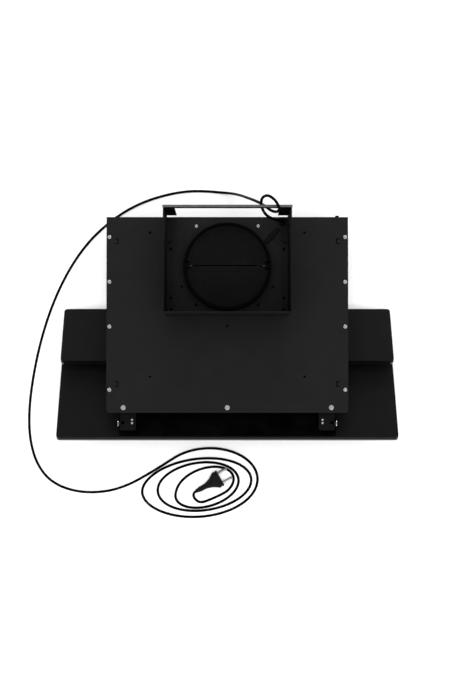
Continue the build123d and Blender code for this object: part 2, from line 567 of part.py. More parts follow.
def make_blower():
    housing = scroll_body(HOUSING_WALL, HOUSING_HALF_WIDTH)
    inside = scroll_body(0, HOUSING_HALF_WIDTH - HOUSING_WALL)
    flange = block((-66, 66), (8, 165), (-5 * SHEET, -3 * SHEET)) - post(0, DUCT_D, (-7, 0), 60)
    housing -= inside
    throat = block((-HOUSING_HALF_WIDTH + 1.5, HOUSING_HALF_WIDTH - 1.5), (30, 140), (-20, 1))
    housing = housing + flange - post(0, DUCT_D, (-20, 0), 60) - (throat & post(0, DUCT_D, (-20, 0), 60))
    housing -= cross_rod((-HOUSING_HALF_WIDTH - 1, HOUSING_HALF_WIDTH + 1), FAN_D, FAN_H, INLET_RADIUS)
    for x, d in COLLAR_SCREWS:
        housing -= post(x, d, (-7, 0), 1.75)
    keep("blower_housing", housing)

    w = FAN_HALF_WIDTH
    wheel = cross_rod((-1.0, 1.0), FAN_D, FAN_H, FAN_RADIUS)
    for x in ((-w, -w + 2), (w - 2, w)):
        wheel += cross_rod(x, FAN_D, FAN_H, FAN_RADIUS) - cross_rod(x, FAN_D, FAN_H, FAN_RADIUS - 10)
    blade = Pos(at(0, FAN_D + FAN_RADIUS - 5, FAN_H)) * Rot(35, 0, 0) * Box(2 * w, 9.0, 1.2)
    axis = Axis(at(0, FAN_D, FAN_H), (1, 0, 0))
    wheel = wheel.fuse(*[blade.rotate(axis, i * 360 / BLADES) for i in range(BLADES)])
    wheel += cross_rod((-11, 11), FAN_D, FAN_H, 10)
    wheel -= cross_rod((-20, 20), FAN_D, FAN_H, SHAFT_RADIUS)
    keep("fan_wheel", wheel)
    keep("motor_shaft", cross_rod((-70, 14), FAN_D, FAN_H, SHAFT_RADIUS))

    motor = cross_rod((-74, -20), FAN_D, FAN_H, 34)
    motor -= cross_rod((-71, -19), FAN_D, FAN_H, SHAFT_RADIUS + RUNNING)
    motor -= cross_rod((-26, -19), FAN_D, FAN_H, 12)
    keep("motor", motor)
    bracket_x = (-76.0, -74.0)
    bracket = cross_rod(bracket_x, FAN_D, FAN_H, 30)
    for angle in (90, 210, 330):
        arm = Pos(at(sum(bracket_x) / 2, FAN_D, FAN_H)) * Rot(angle, 0, 0) * Pos(0, 0, 38) * Box(2, 12, 28)
        foot_place = at((-76 - HOUSING_HALF_WIDTH) / 2, FAN_D, FAN_H)
        foot_length = 76 - HOUSING_HALF_WIDTH
        foot = Pos(foot_place) * Rot(angle, 0, 0) * Pos(0, 0, 51) * Box(foot_length, 12, 2)
        bracket += arm + foot
    keep("motor_bracket", bracket)

    keep("motor_capacitor", post(-150, 40, (-70, -8), 15) + post(-150, 40, (-8, -SHEET), 4))
    terminal = block((110, 190), (60, 120), (-40, -SHEET))
    keep("terminal_box", fillet(terminal.edges().filter_by(Axis.Z), 4))
    keep("lamp_driver", block((-190, -120), (80, 120), (-30, -SHEET)))


# ---------------------------------------------------------------- mains lead
# Points are (x, d, h), set by hand: up from the gland, once round the rail, down behind the body,
# then along the level it lies on, out past the left side and back in front of the glass.
CORD_H = FLOOR_H + CORD_DIAMETER / 2
CORD_ROUTE = [
    (95.6, 11, GLAND_EXIT_H), (95.6, 11, 39), (92, 11.5, 54), (85, 12, 73), (77, 11.5, 93),
    (68.5, 9.5, 112), (61.5, 4.5, 129), (57, -3, 141), (55.8, -11, 149), (57, -16.5, 157),
    (60.8, -19.8, 165), (66.5, -20, 173.5), (72.5, -16.5, 180), (78.5, -10.5, 184), (83, -3.5, 183.5),
    (85.3, 2.2, 178), (84.5, 5.4, 169.5), (80.5, 6, 159.5), (75, 4, 149.5), (69, -0.5, 140.5),
    (63, -6.5, 131), (56.5, -12, 119), (50, -17, 101), (43.5, -22.7, 74), (37.8, -28.8, 37),
    (32.6, -35.1, -5), (27.9, -42.2, -55), (23, -48.9, -105), (17.9, -54.8, -148), (11.7, -59.6, -182),
    (2.5, -63.1, -203), (-15, -65.3, CORD_H), (-40, -67.3, CORD_H), (-72, -67.6, CORD_H),
    (-110, -61.5, CORD_H), (-150, -49.5, CORD_H), (-187, -32, CORD_H), (-222, -7, CORD_H),
    (-254, 22.5, CORD_H), (-284, 62, CORD_H), (-310, 109, CORD_H), (-331, 160, CORD_H),
    (-347, 213, CORD_H), (-359, 268, CORD_H), (-366.5, 321, CORD_H), (-368.5, 366, CORD_H),
    (-364.5, 404, CORD_H), (-354, 438, CORD_H), (-334, 467, CORD_H), (-303, 485.5, CORD_H),
    (-264, 493.5, CORD_H), (-223, 491.5, CORD_H), (-186, 480.5, CORD_H), (-152, 462.5, CORD_H),
]
COIL_CENTRE = (-51.5, 476.0)
COIL_HALF = (111.0, 66.5)
COIL_HOLE_CENTRE = (-23.0, 477.5)
COIL_HOLE_HALF = (33.5, 30.0)
COIL_TILT = 8.0
PLUG_TILT = 29.5
PLUG_START = (-52.0, 487.7)
PLUG_LENGTH = 45.0
PLUG_HEIGHT = 22.0
PLUG_HALF_WIDTH = 16.0
PLUG_PIN_Y = 9.5
PLUG_PIN_RADIUS = 2.4
PLUG_PIN_LENGTH = 19.0


def arc_radii(points):
    """Each corner's radius: 0.45 of the shorter run over the tangent of half the turn."""
    radii = []
    for before, here, after in zip(points, points[1:], points[2:]):
        run_in, run_out = here - before, after - here
        half_turn = math.radians(run_in.get_angle(run_out)) / 2
        radii.append(0.45 * min(run_in.length, run_out.length) / math.tan(half_turn))
    return radii


def oval(centre, half, low, high):
    """An upright oval plate on the level that the cord lies on."""
    plate = extrude(Rot(0, 0, COIL_TILT) * Ellipse(half[0], half[1]), amount=high - low)
    return Pos(at(centre[0], centre[1], low)) * plate


def make_cord():
    points = [at(*point) for point in CORD_ROUTE]
    radii = arc_radii(points)
    path = FilletPolyline(*points, radius=radii)
    start = Plane(origin=points[0], z_dir=(points[1] - points[0]))
    lead = sweep(start * Circle(CORD_DIAMETER / 2), path=path)
    keep("cord_lead", lead)
    expected = math.pi * (CORD_DIAMETER / 2) ** 2 * path.length
    print("cord radii", [round(r, 1) for r in radii])
    print("cord length", round(path.length, 1))
    print("volume over section times length", round(lead.volume / expected, 4))

    ring = oval(COIL_CENTRE, COIL_HALF, FLOOR_H, FLOOR_H + CORD_DIAMETER)
    ring -= oval(COIL_HOLE_CENTRE, COIL_HOLE_HALF, FLOOR_H - 1, FLOOR_H + CORD_DIAMETER + 1)
    keep("cord_coil", ring)


def make_plug():
    """Two-pin plug lying flat: a flared body along its own X, then the pins."""
    place = Pos(at(PLUG_START[0], PLUG_START[1], FLOOR_H)) * Rot(0, 0, PLUG_TILT)
    middle = PLUG_HEIGHT / 2
    half_outline = [(14, 5), (26, 9), (36, PLUG_HALF_WIDTH), (PLUG_LENGTH, PLUG_HALF_WIDTH)]
    corners = half_outline + [(u, -v) for u, v in reversed(half_outline)]
    outline = make_face(Polyline(*corners, close=True))
    body = extrude(outline, amount=PLUG_HEIGHT)
    body = fillet(body.edges().filter_by(Axis.Z), 1.5)
    wedge = make_face(Polyline((10, -1), (34, -1), (10, middle - 5), close=True))
    cut = extrude(Plane.XZ * wedge, amount=40, both=True)
    body = body - cut - mirror(cut, about=Plane.XY.offset(middle))
    for y in (-PLUG_HALF_WIDTH, PLUG_HALF_WIDTH):
        body -= Pos(41, y, middle) * Box(4, 3.5, PLUG_HEIGHT + 2)
    tail, root = Vector(-10, 0, CORD_DIAMETER / 2 + 0.8), Vector(15, 0, middle)
    relief_plane = Plane(origin=(tail + root) / 2, z_dir=(root - tail))
    relief = relief_plane.location * Cone(3.0, 5.0, (root - tail).length)
    keep("plug_body", place * (body + relief))
    pins = []
    for y in (-PLUG_PIN_Y, PLUG_PIN_Y):
        pin_middle = Pos(PLUG_LENGTH + PLUG_PIN_LENGTH / 2, y, middle)
        pin = pin_middle * Rot(0, 90, 0) * Cylinder(PLUG_PIN_RADIUS, PLUG_PIN_LENGTH)
        pins.append(place * fillet(pin.edges().sort_by(Axis.X)[-1], 1.2))
    keep("plug_pins", joined(pins))


def main():
    make_body()
    make_screws()
    make_collar()
    make_frame()
    make_cable_entry()
    make_glass()
    make_filters()
    make_controls()
    make_blower()
    make_cord()
    make_plug()
    os.makedirs("parts", exist_ok=True)
    for name, shape in nodes.items():
        export_step(shape, f"parts/{name}.step")
    print(len(nodes), "nodes")


main()
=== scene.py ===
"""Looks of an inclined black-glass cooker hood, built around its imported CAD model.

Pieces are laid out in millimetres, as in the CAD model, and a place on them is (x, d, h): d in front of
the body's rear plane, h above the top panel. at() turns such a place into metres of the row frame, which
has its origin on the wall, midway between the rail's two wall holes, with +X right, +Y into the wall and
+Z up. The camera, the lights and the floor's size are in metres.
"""
import json
import math

import bmesh
import bpy
from mathutils import Matrix, Vector


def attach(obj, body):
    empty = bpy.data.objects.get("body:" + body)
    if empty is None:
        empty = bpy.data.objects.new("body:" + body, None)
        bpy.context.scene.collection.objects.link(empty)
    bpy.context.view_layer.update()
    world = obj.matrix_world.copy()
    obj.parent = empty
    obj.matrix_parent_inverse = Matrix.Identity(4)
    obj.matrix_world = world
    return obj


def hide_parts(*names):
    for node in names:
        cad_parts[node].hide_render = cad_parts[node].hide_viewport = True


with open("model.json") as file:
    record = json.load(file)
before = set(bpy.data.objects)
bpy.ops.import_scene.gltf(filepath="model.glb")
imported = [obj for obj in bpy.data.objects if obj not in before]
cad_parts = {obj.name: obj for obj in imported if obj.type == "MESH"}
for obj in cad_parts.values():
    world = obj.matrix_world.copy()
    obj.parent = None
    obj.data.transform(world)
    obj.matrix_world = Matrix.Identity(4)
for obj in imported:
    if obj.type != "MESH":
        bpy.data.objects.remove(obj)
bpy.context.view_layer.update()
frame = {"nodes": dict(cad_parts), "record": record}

MM = 0.001
REAR_Y_MM = -5.0
TOP_Z_MM = -160.0
FLOOR_H_MM = -212.0
SLOPE_ANGLE = math.radians(40)
GLASS_EDGE_MM = (384.0, -20.0)  # upper front edge of the front panel, body side, as (d, h)


def at(x, d, h):
    """A point of the row frame, in metres, from the CAD model's (x, d, h) in millimetres."""
    return Vector((x, REAR_Y_MM - d, TOP_Z_MM + h)) * MM


def slope_frame():
    """Axes of the inclined face: X along the hood, Y down the slope, Z square to it towards the body."""
    across = Vector((1, 0, 0))
    square = Vector((0, math.sin(SLOPE_ANGLE), math.cos(SLOPE_ANGLE)))
    along = square.cross(across)
    place = Matrix((across, along, square)).transposed().to_4x4()
    place.translation = at(0, *GLASS_EDGE_MM)
    return place


# ---------------------------------------------------------------- camera
CAMERA_PLACE = (-0.004, -0.282, 2.885)
CAMERA_TILT = math.radians(1.26)
SENSOR_WIDTH_MM = 36.0
LENS_MM = 93.33
CLIP_END = 60.0


def make_camera():
    """Looks almost straight down on the hood."""
    data = bpy.data.cameras.new("camera")
    data.sensor_width = SENSOR_WIDTH_MM
    data.lens = LENS_MM
    data.clip_end = CLIP_END
    camera = bpy.data.objects.new("camera", data)
    camera.location = CAMERA_PLACE
    camera.rotation_euler = (CAMERA_TILT, 0, 0)
    bpy.context.scene.collection.objects.link(camera)
    bpy.context.scene.camera = camera


# ---------------------------------------------------------------- mesh helpers
def add_object(name, data, material, body):
    """A visible piece that rides on a body of the frame and shows one material slot."""
    piece = bpy.data.objects.new(name, data)
    bpy.context.scene.collection.objects.link(piece)
    data.materials.append(material)
    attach(piece, body)
    return piece


def mesh_from(name, corners, faces, smooth=True):
    mesh = bpy.data.meshes.new(name)
    mesh.from_pydata([tuple(corner) for corner in corners], [], faces)
    mesh.validate()
    mesh.update()
    for face in mesh.polygons:
        face.use_smooth = smooth
    return mesh


def round_steps(count):
    """Cosine and sine of each of count equal steps round a circle."""
    angles = [2 * math.pi * i / count for i in range(count)]
    return [(math.cos(angle), math.sin(angle)) for angle in angles]


def loft(rings):
    """Corners and faces of a closed skin over rings that have the same number of points."""
    count = len(rings[0])
    corners = [point for ring in rings for point in ring]
    last = len(corners) - count
    faces = []
    for start in range(0, last, count):
        for i in range(count):
            j = (i + 1) % count
            faces.append((start + i, start + j, start + count + j, start + count + i))
    faces.append(tuple(reversed(range(count))))
    faces.append(tuple(range(last, last + count)))
    return corners, faces


def joined_mesh(name, parts, smooth=True):
    """One mesh from several (corners, faces) pairs."""
    corners, faces = [], []
    for part_corners, part_faces in parts:
        start = len(corners)
        corners += part_corners
        faces += [tuple(start + index for index in face) for face in part_faces]
    return mesh_from(name, corners, faces, smooth)


def sharpen(mesh, angle=math.radians(35)):
    """Points every face outwards, and marks the edges that turn by more than the angle as sharp."""
    bm = bmesh.new()
    bm.from_mesh(mesh)
    bmesh.ops.recalc_face_normals(bm, faces=bm.faces)
    for edge in bm.edges:
        edge.smooth = not (len(edge.link_faces) == 2 and edge.calc_face_angle() > angle)
    bm.to_mesh(mesh)
    bm.free()


# ---------------------------------------------------------------- material helpers
class Finish:
    """A node material under construction, with the few nodes that every finish here is made of."""

    def __init__(self, name, colour, roughness, metallic=0.0, specular=0.5):
        self.material = bpy.data.materials.new(name)
        self.material.use_nodes = True
        self.nodes = self.material.node_tree.nodes
        self.links = self.material.node_tree.links
        self.shader = self.nodes["Principled BSDF"]
        self.colour = colour
        self.roughness = roughness
        self.set("Base Color", (*colour, 1))
        self.set("Roughness", roughness)
        self.set("Metallic", metallic)
        self.set("Specular IOR Level", specular)
        self.place = self.nodes.new("ShaderNodeTexCoord").outputs["Object"]
        self.normal = None

    def set(self, socket, value):
        self.shader.inputs[socket].default_value = value

    def stretched(self, factors):
        """The coordinates squeezed along each axis, for grain that runs one way."""
        mapping = self.nodes.new("ShaderNodeMapping")
        mapping.inputs["Scale"].default_value = factors
        self.links.new(self.place, mapping.inputs["Vector"])
        return mapping.outputs["Vector"]

    def noise(self, scale, detail=2.0, place=None, distortion=0.0):
        node = self.nodes.new("ShaderNodeTexNoise")
        node.inputs["Scale"].default_value = scale
        node.inputs["Detail"].default_value = detail
        node.inputs["Distortion"].default_value = distortion
        self.links.new(place or self.place, node.inputs["Vector"])
        return node.outputs["Fac"]

    def cells(self, scale, output="Color"):
        node = self.nodes.new("ShaderNodeTexVoronoi")
        node.inputs["Scale"].default_value = scale
        self.links.new(self.place, node.inputs["Vector"])
        return node.outputs[output]

    def spread(self, value, low, high, start=0.3, end=0.7):
        """value from start to end becomes a number from low to high."""
        node = self.nodes.new("ShaderNodeMapRange")
        node.inputs["From Min"].default_value = start
        node.inputs["From Max"].default_value = end
        node.inputs["To Min"].default_value = low
        node.inputs["To Max"].default_value = high
        self.links.new(value, node.inputs["Value"])
        return node.outputs["Result"]

    def vary_colour(self, value, other, start=0.35, end=0.65):
        """Blends the base colour towards another one where value is high."""
        node = self.nodes.new("ShaderNodeMix")
        node.data_type = "RGBA"
        node.inputs["A"].default_value = (*self.colour, 1)
        node.inputs["B"].default_value = (*other, 1)
        current = self.shader.inputs["Base Color"]
        if current.links:
            self.links.new(current.links[0].from_socket, node.inputs["A"])
        self.links.new(self.spread(value, 0, 1, start, end), node.inputs["Factor"])
        self.links.new(node.outputs["Result"], current)

    def vary_roughness(self, value, amount):
        low = max(self.roughness - amount, 0.01)
        high = self.roughness + amount
        self.links.new(self.spread(value, low, high), self.shader.inputs["Roughness"])

    def bump(self, value, depth_mm, strength=1.0):
        """Raises the surface where value is high, on top of earlier bumps."""
        node = self.nodes.new("ShaderNodeBump")
        node.inputs["Strength"].default_value = strength
        node.inputs["Distance"].default_value = depth_mm * MM
        self.links.new(value, node.inputs["Height"])
        if self.normal:
            self.links.new(self.normal, node.inputs["Normal"])
        self.normal = node.outputs["Normal"]
        self.links.new(self.normal, self.shader.inputs["Normal"])

    def soft_edges(self, radius_mm):
        """Shades folded and cut edges as if they had this radius."""
        node = self.nodes.new("ShaderNodeBevel")
        node.samples = 4
        node.inputs["Radius"].default_value = radius_mm * MM
        self.normal = node.outputs["Normal"]
        self.links.new(self.normal, self.shader.inputs["Normal"])


def lighter(colour, factor):
    return tuple(min(1.0, channel * factor) for channel in colour)


def coated_steel(name, colour, roughness, specular, peel_mm=0.012, dust=1.2):
    """Powder coat: fine orange peel, faint cloudiness and a few specks of dust."""
    finish = Finish(name, colour, roughness, specular=specular)
    finish.soft_edges(0.45)
    finish.bump(finish.noise(1100, 3), peel_mm)
    finish.bump(finish.noise(260, 2), peel_mm * 1.5, 0.6)
    finish.vary_roughness(finish.noise(40, 5), 0.04)
    finish.vary_colour(finish.noise(35, 6, distortion=0.4), lighter(colour, dust), 0.4, 0.8)
    finish.vary_colour(finish.noise(1700, 1), lighter(colour, 2.0), 0.76, 0.86)
    return finish.material


def plated_steel(name, colour, roughness, grain=(1, 1, 1), spangle=0.0):
    """Zinc, nickel or turned steel: fine grain, cloudy roughness and, on galvanised sheet, spangle."""
    finish = Finish(name, colour, roughness, metallic=1.0)
    finish.soft_edges(0.25)
    finish.bump(finish.noise(1500, 3, finish.stretched(grain)), 0.006, 0.7)
    finish.vary_roughness(finish.noise(220, 4, finish.stretched(grain)), 0.09)
    finish.vary_colour(finish.noise(90, 5), lighter(colour, 0.78), 0.45, 0.75)
    if spangle:
        finish.vary_colour(finish.cells(spangle), lighter(colour, 0.72), 0.25, 0.9)
    return finish.material


def moulded(name, colour, roughness, texture_mm=0.01, scale=900, specular=0.5):
    """Moulded plastic or rubber with a spark-eroded texture and slight flow marks."""
    finish = Finish(name, colour, roughness, specular=specular)
    finish.soft_edges(0.35)
    finish.bump(finish.noise(scale, 3), texture_mm)
    finish.vary_roughness(finish.noise(30, 4), 0.06)
    finish.vary_colour(finish.noise(45, 3, distortion=0.8), lighter(colour, 1.35), 0.5, 0.85)
    return finish.material


def black_glass(name, colour):
    """Toughened glass lacquered black behind, with faint wipe marks and roller waviness."""
    finish = Finish(name, colour, 0.055, specular=0.5)
    finish.set("IOR", 1.52)
    finish.set("Coat Weight", 0.6)
    finish.set("Coat Roughness", 0.03)
    finish.soft_edges(0.4)
    finish.bump(finish.noise(6, 1), 0.05, 0.25)
    finish.vary_roughness(finish.noise(20, 6, finish.stretched((1, 0.25, 1)), 0.6), 0.035)
    finish.vary_colour(finish.noise(900, 1), lighter(colour, 2.5), 0.76, 0.86)
    return finish.material


def frosted_lens(name, colour):
    """Opal lamp glass with a fine prismatic texture."""
    finish = Finish(name, colour, 0.35)
    finish.set("Transmission Weight", 0.35)
    finish.set("IOR", 1.49)
    finish.bump(finish.cells(420, "Distance"), 0.12, 0.8)
    finish.vary_roughness(finish.noise(60, 3), 0.08)
    finish.vary_colour(finish.noise(25, 3), lighter(colour, 0.93))
    return finish.material


def laminated_iron(name, colour):
    """Motor body: varnished laminations across the shaft."""
    finish = Finish(name, colour, 0.45, metallic=0.85)
    finish.soft_edges(0.3)
    wave = finish.nodes.new("ShaderNodeTexWave")
    wave.inputs["Scale"].default_value = 300
    wave.inputs["Distortion"].default_value = 0.4
    finish.links.new(finish.place, wave.inputs["Vector"])
    finish.bump(wave.outputs["Fac"], 0.08)
    finish.vary_colour(finish.noise(70, 5), (0.14, 0.09, 0.05), 0.5, 0.8)
    finish.vary_roughness(finish.noise(120, 4), 0.12)
    return finish.material


def make_materials():
    """The finish of each material slot of the record."""
    return {
        "body_black": coated_steel("body_black", (0.0042, 0.0042, 0.0043), 0.5, 0.26),
        "frame_black": coated_steel("frame_black", (0.008, 0.008, 0.0081), 0.8, 0.02),
        "tray_black": coated_steel("tray_black", (0.0022, 0.0022, 0.0023), 0.55, 0.11, peel_mm=0.008),
        # Painted shade in part: carrier_black is a real black sheet, but its colour is set far darker than
        # the other blacks, down to the deep shade of the gap between the body and the front panel.
        "carrier_black": coated_steel("carrier_black", (0.0006, 0.0006, 0.0006), 0.7, 0.01, dust=4.0),
        "black_glass": black_glass("black_glass", (0.004, 0.004, 0.0045)),
        "galvanised_steel": plated_steel("galvanised_steel", (0.30, 0.303, 0.308), 0.42, spangle=110),
        "zinc_screw": plated_steel("zinc_screw", (0.86, 0.87, 0.88), 0.22),
        "black_screw": plated_steel("black_screw", (0.006, 0.006, 0.006), 0.5),
        "bright_steel": plated_steel("bright_steel", (0.80, 0.81, 0.82), 0.2, grain=(0.2, 1, 1)),
        "black_rubber": moulded("black_rubber", (0.0024, 0.0024, 0.0024), 0.72, 0.02, 700, specular=0.12),
        "collar_plastic": moulded("collar_plastic", (0.002, 0.002, 0.002), 0.7, 0.012, 900, specular=0.02),
        "flap_plastic": moulded("flap_plastic", (0.003, 0.003, 0.0031), 0.6, 0.012, 900, specular=0.07),
        "black_plastic": moulded("black_plastic", (0.0024, 0.0024, 0.0025), 0.5, 0.012, 900, specular=0.16),
        "filter_aluminium": plated_steel("filter_aluminium", (0.66, 0.67, 0.68), 0.36, grain=(0.06, 1, 1)),
        "filter_mesh": plated_steel("filter_mesh", (0.62, 0.63, 0.64), 0.38),
        "fascia_black": moulded("fascia_black", (0.006, 0.006, 0.0065), 0.16, 0.003, 500),
        "button_black": moulded("button_black", (0.016, 0.016, 0.017), 0.22, 0.003, 500),
        "lamp_ring": plated_steel("lamp_ring", (0.82, 0.82, 0.83), 0.12),
        "lamp_lens": frosted_lens("lamp_lens", (0.86, 0.87, 0.86)),
        "grey_plastic": moulded("grey_plastic", (0.2, 0.21, 0.22), 0.55, 0.02, 600),
        "white_plastic": moulded("white_plastic", (0.70, 0.70, 0.67), 0.5, 0.015, 700),
        "fan_plastic": moulded("fan_plastic", (0.03, 0.03, 0.03), 0.5, 0.015, 700),
        "motor_iron": laminated_iron("motor_iron", (0.22, 0.22, 0.23)),
        "cord_black": moulded("cord_black", (0.0022, 0.0022, 0.0022), 0.6, 0.02, 800, specular=0.02),
        "plug_black": moulded("plug_black", (0.004, 0.004, 0.004), 0.5, 0.02, 800, specular=0.2),
        "pin_nickel": plated_steel("pin_nickel", (0.80, 0.79, 0.75), 0.2, grain=(0.3, 1, 1)),
    }


def paint_frame(materials):
    """Gives every CAD node the finish of the slot that the record names for it."""
    for row in frame["record"]["subparts"]:
        slots = frame["nodes"][row["node"]].data.materials
        slots.clear()
        slots.append(materials[row["material_slot"]])


# ---------------------------------------------------------------- mains lead
CORD_RADIUS_MM = 2.4
CORD_H = FLOOR_H_MM + CORD_RADIUS_MM
GLAND_EXIT_H = 25.0
# Up from the gland, once round the rail, down behind the body and along the floor to the coil
CORD_ROUTE = [
    (95.6, 11, GLAND_EXIT_H), (95.6, 11, 39), (92, 11.5, 54), (85, 12, 73), (77, 11.5, 93),
    (68.5, 9.5, 112), (61.5, 4.5, 129), (57, -3, 141), (55.8, -11, 149), (57, -16.5, 157),
    (60.8, -19.8, 165), (66.5, -20, 173.5), (72.5, -16.5, 180), (78.5, -10.5, 184), (83, -3.5, 183.5),
    (85.3, 2.2, 178), (84.5, 5.4, 169.5), (80.5, 6, 159.5), (75, 4, 149.5), (69, -0.5, 140.5),
    (63, -6.5, 131), (56.5, -12, 119), (50, -17, 101), (43.5, -22.7, 74), (37.8, -28.8, 37),
    (32.6, -35.1, -5), (27.9, -42.2, -55), (23, -48.9, -105), (17.9, -54.8, -148), (11.7, -59.6, -182),
    (2.5, -63.1, -203), (-15, -65.3, CORD_H), (-40, -67.3, CORD_H), (-72, -67.6, CORD_H),
    (-110, -61.5, CORD_H), (-150, -49.5, CORD_H), (-187, -32, CORD_H),
    (-222, -7, CORD_H), (-254, 22.5, CORD_H), (-284, 62, CORD_H), (-310, 109, CORD_H),
    (-331, 160, CORD_H), (-347, 213, CORD_H), (-359, 268, CORD_H), (-366.5, 321, CORD_H),
    (-368.5, 366, CORD_H), (-364.5, 404, CORD_H), (-354, 438, CORD_H), (-334, 467, CORD_H),
    (-303, 485.5, CORD_H), (-264, 493.5, CORD_H), (-223, 491.5, CORD_H), (-186, 480.5, CORD_H),
    (-152, 462.5, CORD_H),
]
# One row a turn, from the outside in: middle (x, d) and half size (x, d) where it starts, at its left
COIL_TURNS = [
    (-36.5, 471.5, 93.0, 66.5),
    (-51.0, 484.0, 107.5, 54.5),
    (-48.0, 477.5, 80.5, 46.0),
    (-43.0, 487.5, 52.0, 33.0),
    (-45.0, 465.5, 60.0, 40.5),
]
COIL_LEAN = (5.0, -6.0)  # x of each turn's wall side, and d of its right side, against a plain oval
COIL_START, COIL_END = 0.11, 3.6  # in turns
POINTS_A_TURN = 20
# From the coil's end round to the plug
CORD_TAIL = [
    (-41, 510.5, CORD_H), (-51, 511.5, CORD_H), (-58.5, 507, CORD_H), (-62.5, 500.5, CORD_H),
    (-62.3, 494.8, CORD_H + 0.6),
]
CORD_IN_PLUG = (-8, -3, 2)  # along the plug's axis, inside its strain relief
PLUG_START_MM = (-52.0, 487.7)
PLUG_ANGLE = math.radians(29.5)
RELIEF_TAIL_MM, RELIEF_ROOT_MM = (-10.0, 3.2), (15.0, 11.0)  # (along, up) of the plug's strain relief


def plug_point(along, across, up):
    """A point of the plug: along its axis towards the pins, across it, and up from the floor."""
    x = PLUG_START_MM[0] + along * math.cos(PLUG_ANGLE) - across * math.sin(PLUG_ANGLE)
    d = PLUG_START_MM[1] - along * math.sin(PLUG_ANGLE) - across * math.cos(PLUG_ANGLE)
    return x, d, FLOOR_H_MM + up


def relief_up(along):
    """Height of the strain relief's axis above the floor."""
    (tail, low), (root, high) = RELIEF_TAIL_MM, RELIEF_ROOT_MM
    return low + (high - low) * (along - tail) / (root - tail)


def coil_point(turns):
    """A point of the coil after this many turns, clockwise seen from above, starting at its left side."""
    row = min(int(turns), len(COIL_TURNS) - 2)
    part = turns - row
    x, d, half_x, half_d = (a + (b - a) * part for a, b in zip(COIL_TURNS[row], COIL_TURNS[row + 1]))
    angle = math.pi * (1 + 2 * turns)
    outward = 1.01  # the spline cuts that much inside its points
    x += outward * half_x * math.cos(angle) - COIL_LEAN[0] * math.sin(angle)
    d += outward * half_d * math.sin(angle) + COIL_LEAN[1] * math.cos(angle)
    return x, d, CORD_H


def cord_points():
    steps = round((COIL_END - COIL_START) * POINTS_A_TURN)
    coil = [coil_point(COIL_START + i / POINTS_A_TURN) for i in range(steps + 1)]
    in_plug = [plug_point(along, 0, relief_up(along)) for along in CORD_IN_PLUG]
    return CORD_ROUTE + coil + CORD_TAIL + in_plug


def make_cord(materials):
    """The whole mains lead as one tube along a spline, from the gland into the plug."""
    curve = bpy.data.curves.new("mains_lead", "CURVE")
    curve.dimensions = "3D"
    curve.bevel_depth = CORD_RADIUS_MM * MM
    curve.bevel_resolution = 5
    curve.resolution_u = 6
    curve.use_fill_caps = True
    spline = curve.splines.new("NURBS")
    points = cord_points()
    spline.points.add(len(points) - 1)
    for point, place in zip(spline.points, points):
        point.co = (*at(*place), 1)
    spline.order_u = 3
    spline.use_endpoint_u = True
    lead = add_object("mains_lead", curve, materials["cord_black"], "hood")
    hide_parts("cord_lead", "cord_coil")


# ---------------------------------------------------------------- plug
# Sections of the moulded body: along, half width, lowest, highest, squareness
PLUG_SECTIONS = [
    (11.5, 4.9, 5.9, 15.9, 2.0),
    (14.0, 5.3, 5.4, 16.4, 2.1),
    (18.0, 6.3, 4.4, 17.6, 2.3),
    (22.0, 7.6, 3.4, 18.6, 2.5),
    (26.0, 9.3, 2.3, 19.7, 2.8),
    (30.0, 11.6, 1.2, 20.8, 3.2),
    (33.0, 13.8, 0.5, 21.5, 3.6),
    (36.0, 15.7, 0.1, 21.9, 4.2),
    (38.6, 16.0, 0.0, 22.0, 5.0),
    (39.2, 15.9, 0.1, 21.9, 5.0),
    (39.5, 14.6, 0.9, 21.1, 5.0),
    (41.9, 14.6, 0.9, 21.1, 5.0),
    (42.2, 15.9, 0.1, 21.9, 5.0),
    (42.8, 16.0, 0.0, 22.0, 5.0),
    (44.4, 16.0, 0.0, 22.0, 5.0),
    (45.0, 15.3, 0.7, 21.3, 5.0),
]
PLUG_RING_POINTS = 48
PLUG_AXIS_UP = 11.0
SLEEVE_ENDS = (-7.0, 13.0)  # along the plug's axis
SLEEVE_RADII = (3.1, 5.2)  # at its tail, and where it has reached its full width
SLEEVE_FLARE = 2.2  # the full width is reached after 1 / SLEEVE_FLARE of its length
SLEEVE_RIBS = 5
RINGS_A_RIB = 8
SLEEVE_GROOVE = 0.75  # depth between two ribs
GRIP_PLACES = (19.0, 22.5, 26.0, 29.5)  # along the plug's axis
GRIP_HALF_LENGTH = 2.6  # of the first rib
GRIP_WIDENING = 0.35  # growth of that for each millimetre towards the pins
GRIP_OUT = 6.8  # from the plug's axis to the first rib
GRIP_RISE = 0.27  # growth of that for each millimetre towards the pins
GRIP_RADIUS = 0.75
GRIP_TIP_RADIUS = 0.15
GRIP_TAPER = 0.6  # length of each rib's pointed ends
GRIP_RING_POINTS = 12


def rounded_ring(section):
    """One cross-section of the plug, a rounded rectangle whose squareness is a superellipse's power."""
    along, half_width, low, high, power = section
    ring = []
    for cosine, sine in round_steps(PLUG_RING_POINTS):
        across = math.copysign(abs(cosine) ** (2 / power), cosine) * half_width
        up = math.copysign(abs(sine) ** (2 / power), sine) * (high - low) / 2
        ring.append(at(*plug_point(along, across, (low + high) / 2 + up)))
    return ring


